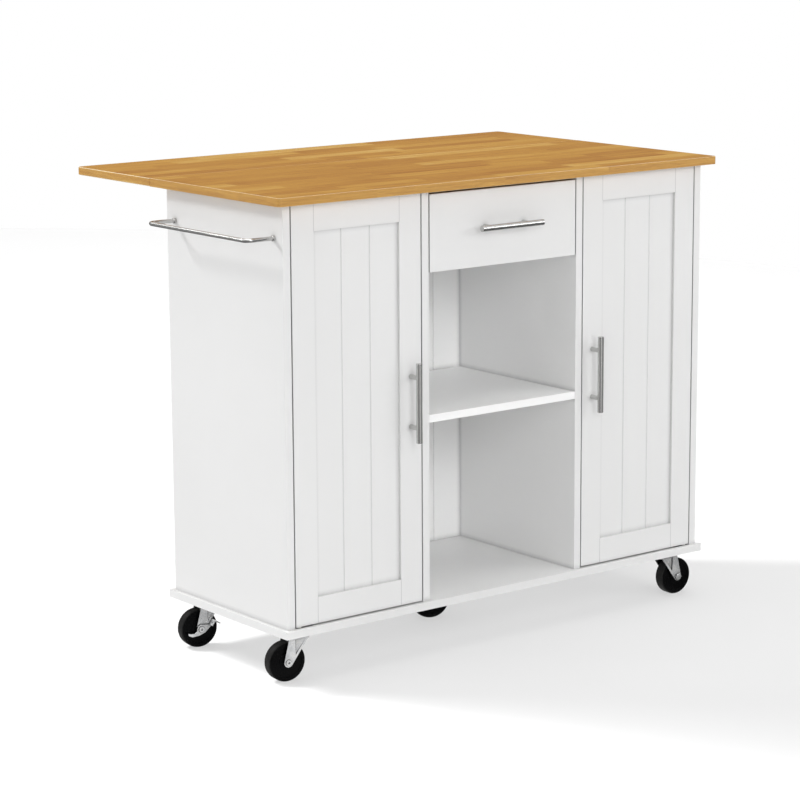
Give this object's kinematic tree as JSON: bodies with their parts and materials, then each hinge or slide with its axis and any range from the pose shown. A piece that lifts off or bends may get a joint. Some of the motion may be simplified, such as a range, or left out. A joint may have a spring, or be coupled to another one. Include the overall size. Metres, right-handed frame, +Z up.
{
  "type": "kitchen island cart",
  "caption": "White kitchen island on swivel casters with a wooden worktop, rear drop leaf, two panelled doors, a drawer, an open shelf bay and a side towel bar.",
  "frame": {"origin": "on the floor, under the middle of the whole cart's box with the leaf raised", "axes": "+X to the right as seen from the front, +Y from the front to the back, +Z up"},
  "size_m": [1.123, 0.6948, 0.914],
  "materials": {
    "white_board": "smooth white satin paint on board",
    "oak": "satin lacquered finger-jointed staves",
    "brushed_steel": "brushed",
    "zinc_steel": "bright zinc plate",
    "black_wheel": "semi-matt moulded",
    "black_plastic": "matt",
    "nylon": "satin"
  },
  "bodies": {
    "cabinet": {"base_board": "white_board", "side_panel_left": "white_board", "side_panel_right": "white_board", "divider_left": "white_board", "divider_right": "white_board", "back_panel": "white_board", "centre_shelf": "white_board", "cabinet_shelf_left": "white_board", "cabinet_shelf_right": "white_board", "shelf_pins": "zinc_steel", "top_rails": "white_board", "worktop": "oak", "leaf_hinge_plates": "zinc_steel", "brace_wall_brackets": "zinc_steel", "towel_bar": "brushed_steel", "towel_bar_screws": "zinc_steel", "drawer_slide_rails": "zinc_steel", "magnetic_catches": "black_plastic", "door_pivot_plates": "zinc_steel", "caster_plates": "zinc_steel", "caster_screws": "zinc_steel"},
    "leaf": {"drop_leaf": "oak", "leaf_hinge_flaps": "zinc_steel", "brace_leaf_brackets": "zinc_steel"},
    "lower_links": {"brace_lower_links": "zinc_steel"},
    "upper_links": {"brace_upper_links": "zinc_steel"},
    "left_door": {"left_door_frame": "white_board", "left_door_panel": "white_board", "left_door_handle": "brushed_steel", "left_door_fittings": "nylon"},
    "right_door": {"right_door_frame": "white_board", "right_door_panel": "white_board", "right_door_handle": "brushed_steel", "right_door_fittings": "nylon"},
    "drawer": {"drawer_front": "white_board", "drawer_sides": "white_board", "drawer_back": "white_board", "drawer_bottom": "white_board", "drawer_handle": "brushed_steel", "drawer_runners": "zinc_steel"},
    "front_left_caster": {"front_left_fork": "zinc_steel", "front_left_axle": "zinc_steel"},
    "front_left_rolling_wheel": {"front_left_wheel": "black_wheel"},
    "front_right_caster": {"front_right_fork": "zinc_steel", "front_right_axle": "zinc_steel"},
    "front_right_rolling_wheel": {"front_right_wheel": "black_wheel"},
    "back_left_caster": {"back_left_fork": "zinc_steel", "back_left_axle": "zinc_steel"},
    "back_left_rolling_wheel": {"back_left_wheel": "black_wheel"},
    "back_left_brake_lever": {"back_left_brake": "zinc_steel"},
    "back_right_caster": {"back_right_fork": "zinc_steel", "back_right_axle": "zinc_steel"},
    "back_right_rolling_wheel": {"back_right_wheel": "black_wheel"},
    "back_right_brake_lever": {"back_right_brake": "zinc_steel"},
    "centre_caster": {"centre_fork": "zinc_steel", "centre_axle": "zinc_steel"},
    "centre_rolling_wheel": {"centre_wheel": "black_wheel"},
    "centre_brake_lever": {"centre_brake": "zinc_steel"}
  },
  "joints": [
    {"name": "leaf_fold", "type": "hinge", "parent": "cabinet", "child": "leaf", "pos_m": [0.0205, 0.085, 0.895], "axis": [-1, 0, 0], "range_deg": [0, 90]},
    {"name": "lower_link_fold", "type": "hinge", "parent": "cabinet", "child": "lower_links", "pos_m": [0.0205, 0.071, 0.744], "axis": [1, 0, 0], "range_deg": [0, 33.1]},
    {"name": "upper_link_fold", "type": "hinge", "parent": "leaf", "child": "upper_links", "pos_m": [0.0205, 0.2, 0.887], "axis": [-1, 0, 0], "range_deg": [0, 25.86]},
    {"name": "left_door_hinge", "type": "hinge", "parent": "cabinet", "child": "left_door", "pos_m": [-0.4695, -0.30885, 0.5], "axis": [0, 0, -1], "range_deg": [0, 105]},
    {"name": "right_door_hinge", "type": "hinge", "parent": "cabinet", "child": "right_door", "pos_m": [0.5105, -0.30885, 0.5], "axis": [0, 0, 1], "range_deg": [0, 105]},
    {"name": "drawer_slide", "type": "slide", "parent": "cabinet", "child": "drawer", "axis": [0, -1, 0], "range_m": [0, 0.25]},
    {"name": "front_left_swivel", "type": "hinge", "parent": "cabinet", "child": "front_left_caster", "pos_m": [-0.4505, -0.27335, 0.088], "axis": [0, 0, 1], "continuous": true},
    {"name": "front_left_roll", "type": "hinge", "parent": "front_left_caster", "child": "front_left_rolling_wheel", "pos_m": [-0.47427, -0.27001, 0.038], "axis": [0.1392, 0.9903, 0], "continuous": true},
    {"name": "front_right_swivel", "type": "hinge", "parent": "cabinet", "child": "front_right_caster", "pos_m": [0.4915, -0.27335, 0.088], "axis": [0, 0, 1], "continuous": true},
    {"name": "front_right_roll", "type": "hinge", "parent": "front_right_caster", "child": "front_right_rolling_wheel", "pos_m": [0.51547, -0.27461, 0.038], "axis": [-0.0523, -0.9986, 0], "continuous": true},
    {"name": "back_left_swivel", "type": "hinge", "parent": "cabinet", "child": "back_left_caster", "pos_m": [-0.4505, 0.01865, 0.088], "axis": [0, 0, 1], "continuous": true},
    {"name": "back_left_roll", "type": "hinge", "parent": "back_left_caster", "child": "back_left_rolling_wheel", "pos_m": [-0.4742, 0.0224, 0.038], "axis": [0.1564, 0.9877, 0], "continuous": true},
    {"name": "back_left_brake_press", "type": "hinge", "parent": "back_left_caster", "child": "back_left_brake_lever", "pos_m": [-0.4742, 0.0224, 0.038], "axis": [0.1564, 0.9877, 0], "range_deg": [0, 18]},
    {"name": "back_right_swivel", "type": "hinge", "parent": "cabinet", "child": "back_right_caster", "pos_m": [0.4915, 0.01865, 0.088], "axis": [0, 0, 1], "continuous": true},
    {"name": "back_right_roll", "type": "hinge", "parent": "back_right_caster", "child": "back_right_rolling_wheel", "pos_m": [0.46832, 0.02486, 0.038], "axis": [0.2588, 0.9659, 0], "continuous": true},
    {"name": "back_right_brake_press", "type": "hinge", "parent": "back_right_caster", "child": "back_right_brake_lever", "pos_m": [0.46832, 0.02486, 0.038], "axis": [0.2588, 0.9659, 0], "range_deg": [0, 18]},
    {"name": "centre_swivel", "type": "hinge", "parent": "cabinet", "child": "centre_caster", "pos_m": [0.0285, -0.11035, 0.088], "axis": [0, 0, 1], "continuous": true},
    {"name": "centre_roll", "type": "hinge", "parent": "centre_caster", "child": "centre_rolling_wheel", "pos_m": [0.00771, -0.09835, 0.038], "axis": [0.5, 0.866, 0], "continuous": true},
    {"name": "centre_brake_press", "type": "hinge", "parent": "centre_caster", "child": "centre_brake_lever", "pos_m": [0.00771, -0.09835, 0.038], "axis": [0.5, 0.866, 0], "range_deg": [0, 18]}
  ],
  "couplings": [
    {"joint": "lower_link_fold", "follows": "leaf_fold", "ratio": 0.36776},
    {"joint": "upper_link_fold", "follows": "leaf_fold", "ratio": 0.28735}
  ]
}
